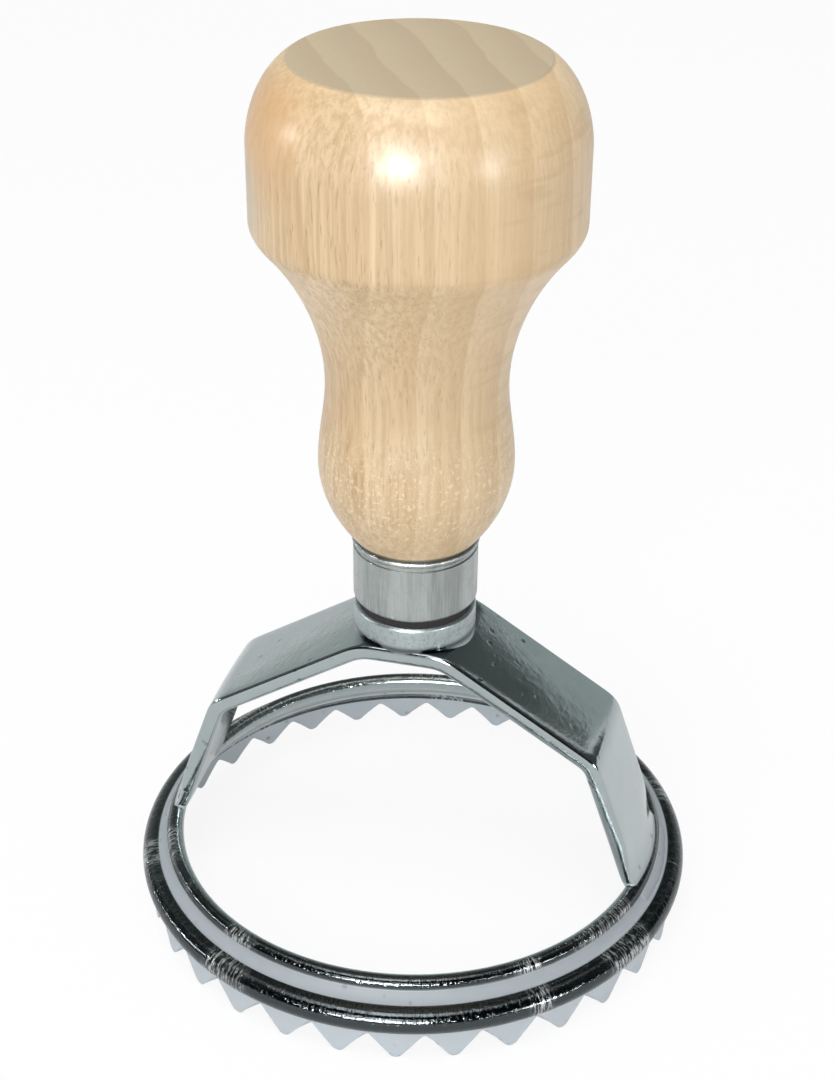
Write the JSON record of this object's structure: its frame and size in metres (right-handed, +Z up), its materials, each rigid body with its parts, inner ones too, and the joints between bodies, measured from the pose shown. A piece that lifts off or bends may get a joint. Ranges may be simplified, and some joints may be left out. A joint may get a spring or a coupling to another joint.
{
  "type": "dumpling cutter",
  "caption": "Round dumpling cutter with a zigzag edge: a cast chromed ring and arched strap under a turned wooden knob handle",
  "frame": {"origin": "on the axis, in the plane of the tooth tips, which is the face that it stands on", "axes": "+Z up along the handle, +X along the strap's span, +Y across the strap"},
  "size_m": [0.077, 0.077, 0.1194],
  "materials": {
    "cutter_casting": "polished chrome plating over a zinc casting",
    "ferrule": "satin, finely brushed along the axis",
    "wooden_handle": "clear lacquer on pale beech",
    "handle_screw": "plain zinc-plated"
  },
  "bodies": {
    "root": {"cutter_casting": "cutter_casting", "ferrule": "ferrule", "wooden_handle": "wooden_handle", "handle_screw": "handle_screw"}
  },
  "joints": []
}
